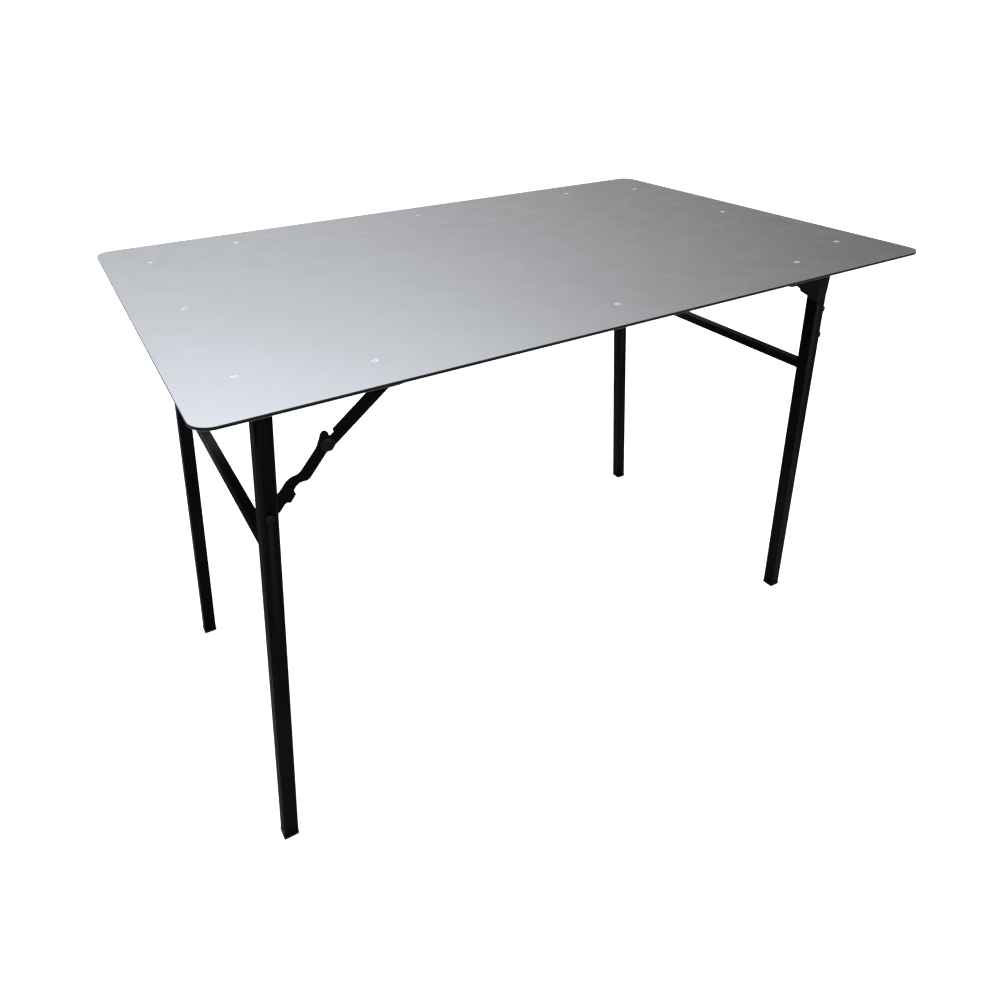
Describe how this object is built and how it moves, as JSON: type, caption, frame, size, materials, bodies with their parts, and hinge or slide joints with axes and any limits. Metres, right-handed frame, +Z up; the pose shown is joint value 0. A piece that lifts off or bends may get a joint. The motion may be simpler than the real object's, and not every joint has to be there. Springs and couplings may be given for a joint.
{
  "type": "folding table",
  "caption": "Rectangular folding table: thin grey composite top with black edge on a steel sub-frame, folding splayed square-tube legs with locking braces.",
  "frame": {"origin": "on the floor under the middle of the top, where the legs stand", "axes": "+Z up, +X along the length of the top, +Y across it towards the back"},
  "size_m": [1.128, 0.716, 0.75],
  "materials": {
    "grey_skin": "satin grey lacquered sheet, faint gloss",
    "back_skin": "dull grey lacquered sheet",
    "black_core": "black plastic core, satin where it is milled at the edge",
    "zinc_screws": "bright zinc plated",
    "black_steel": "black powder coat, fine grain",
    "bracket_steel": "black powder coat, slightly worn at the edges",
    "link_steel": "black powder coat, rubbed at the pivots",
    "rivet_steel": "blackened steel, semi gloss",
    "bolt_steel": "black oxide",
    "cap_plastic": "black moulded plastic"
  },
  "bodies": {
    "table": {"top_skin": "grey_skin", "panel_core": "black_core", "bottom_skin": "back_skin", "panel_screws": "zinc_screws", "rivet_nuts": "zinc_screws", "front_rail": "black_steel", "back_rail": "black_steel", "left_end_rail": "black_steel", "right_end_rail": "black_steel", "rail_end_caps": "cap_plastic", "braced_hinge_a": "black_steel", "plain_hinge_a": "black_steel", "brace_lug_a": "bracket_steel", "hinge_pins_a": "rivet_steel", "bracket_screws_a": "rivet_steel", "lug_pin_a": "rivet_steel", "braced_hinge_b": "black_steel", "plain_hinge_b": "black_steel", "brace_lug_b": "bracket_steel", "hinge_pins_b": "rivet_steel", "bracket_screws_b": "rivet_steel", "lug_pin_b": "rivet_steel"},
    "leg_frame_a": {"braced_leg_a": "black_steel", "plain_leg_a": "black_steel", "crossbar_a": "black_steel", "hinge_shank_a": "rivet_steel", "shank_bolts_a": "bolt_steel", "foot_caps_a": "cap_plastic", "leg_rivet_a": "rivet_steel"},
    "brace_upper_a": {"upper_link_a": "link_steel", "knee_tail_a": "rivet_steel"},
    "brace_lower_a": {"lower_link_a": "link_steel", "knee_rivet_a": "rivet_steel"},
    "leg_frame_b": {"braced_leg_b": "black_steel", "plain_leg_b": "black_steel", "crossbar_b": "black_steel", "hinge_shank_b": "rivet_steel", "shank_bolts_b": "bolt_steel", "foot_caps_b": "cap_plastic", "leg_rivet_b": "rivet_steel"},
    "brace_upper_b": {"upper_link_b": "link_steel", "knee_tail_b": "rivet_steel"},
    "brace_lower_b": {"lower_link_b": "link_steel", "knee_rivet_b": "rivet_steel"}
  },
  "joints": [
    {"name": "fold_a", "type": "hinge", "parent": "table", "child": "leg_frame_a", "pos_m": [-0.47383, 0, 0.7265], "axis": [0, -1, 0], "range_deg": [0, 95.4]},
    {"name": "brace_upper_pivot_a", "type": "hinge", "parent": "table", "child": "brace_upper_a", "pos_m": [-0.3109, 0, 0.7066], "axis": [0, 1, 0], "range_deg": [0, 31.27]},
    {"name": "brace_lower_pivot_a", "type": "hinge", "parent": "leg_frame_a", "child": "brace_lower_a", "pos_m": [-0.49169, 0, 0.5745], "axis": [0, -1, 0], "range_deg": [0, 63.61]},
    {"name": "fold_b", "type": "hinge", "parent": "table", "child": "leg_frame_b", "pos_m": [0.47383, 0, 0.7265], "axis": [0, 1, 0], "range_deg": [0, 95.4]},
    {"name": "brace_upper_pivot_b", "type": "hinge", "parent": "table", "child": "brace_upper_b", "pos_m": [0.3109, 0, 0.7066], "axis": [0, -1, 0], "range_deg": [0, 31.27]},
    {"name": "brace_lower_pivot_b", "type": "hinge", "parent": "leg_frame_b", "child": "brace_lower_b", "pos_m": [0.49169, 0, 0.5745], "axis": [0, 1, 0], "range_deg": [0, 63.61]}
  ],
  "couplings": [
    {"joint": "brace_upper_pivot_a", "follows": "fold_a", "ratio": 0.32458},
    {"joint": "brace_lower_pivot_a", "follows": "fold_a", "ratio": 0.66367},
    {"joint": "brace_upper_pivot_b", "follows": "fold_b", "ratio": 0.32458},
    {"joint": "brace_lower_pivot_b", "follows": "fold_b", "ratio": 0.66367}
  ]
}
